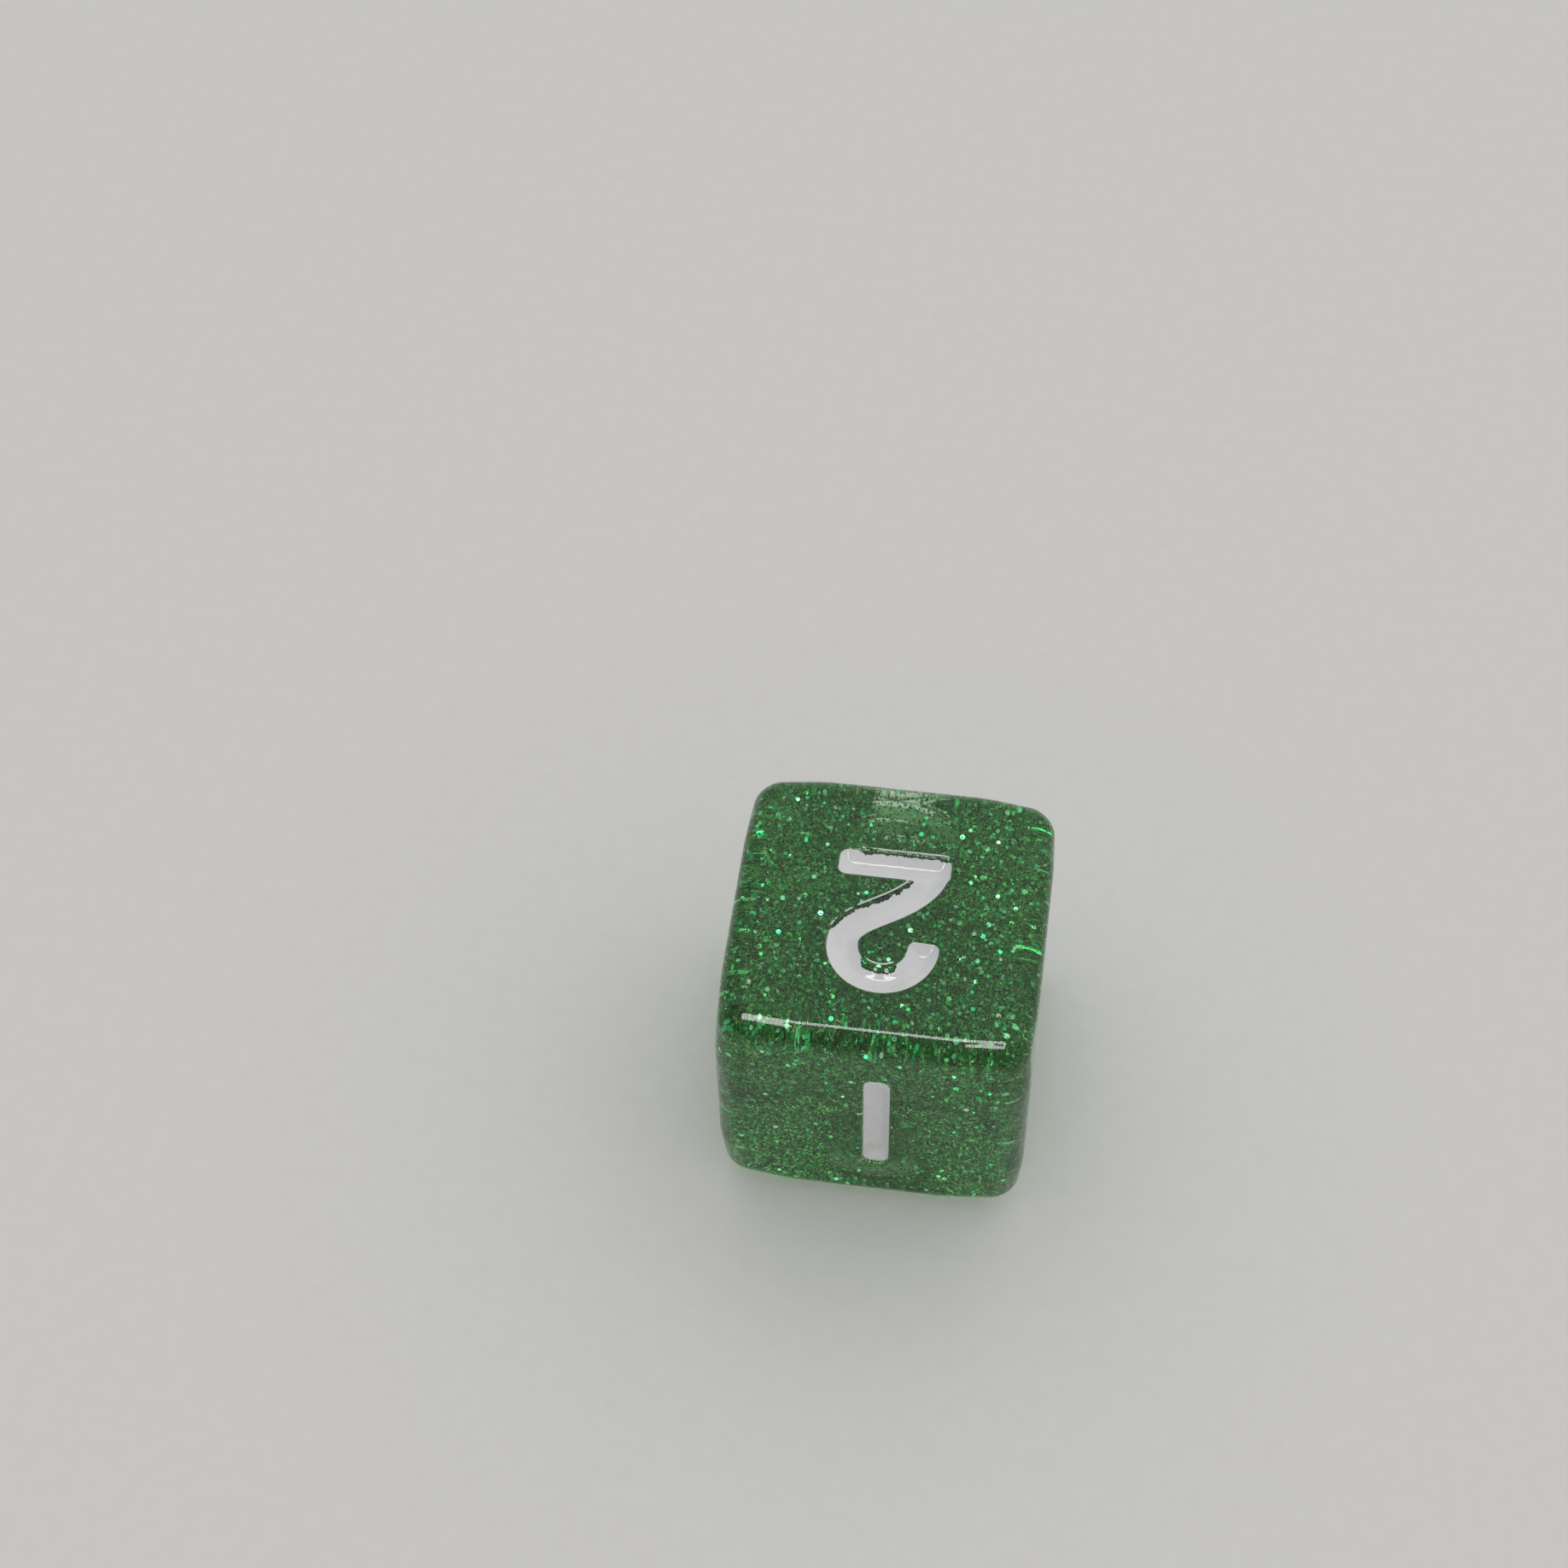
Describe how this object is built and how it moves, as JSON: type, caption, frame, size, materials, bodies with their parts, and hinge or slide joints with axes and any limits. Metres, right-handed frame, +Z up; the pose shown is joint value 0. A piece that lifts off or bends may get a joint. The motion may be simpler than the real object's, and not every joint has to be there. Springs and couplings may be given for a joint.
{
  "type": "six-sided die",
  "caption": "Six-sided gaming die: a rounded cube of clear green glitter resin with a painted numeral sunk in each face.",
  "frame": {"origin": "middle of the face the die rests on (face 5)", "axes": "+Z up through face 2, -Y out of face 1, +X out of face 3"},
  "size_m": [0.016, 0.016, 0.016],
  "materials": {
    "resin": "gloss",
    "paint": "gloss"
  },
  "bodies": {
    "root": {"die_body": "resin", "paint_fill_1": "paint", "paint_fill_2": "paint", "paint_fill_3": "paint", "paint_fill_4": "paint", "paint_fill_5": "paint", "paint_fill_6": "paint", "paint_fill_6_underline": "paint"}
  },
  "joints": []
}
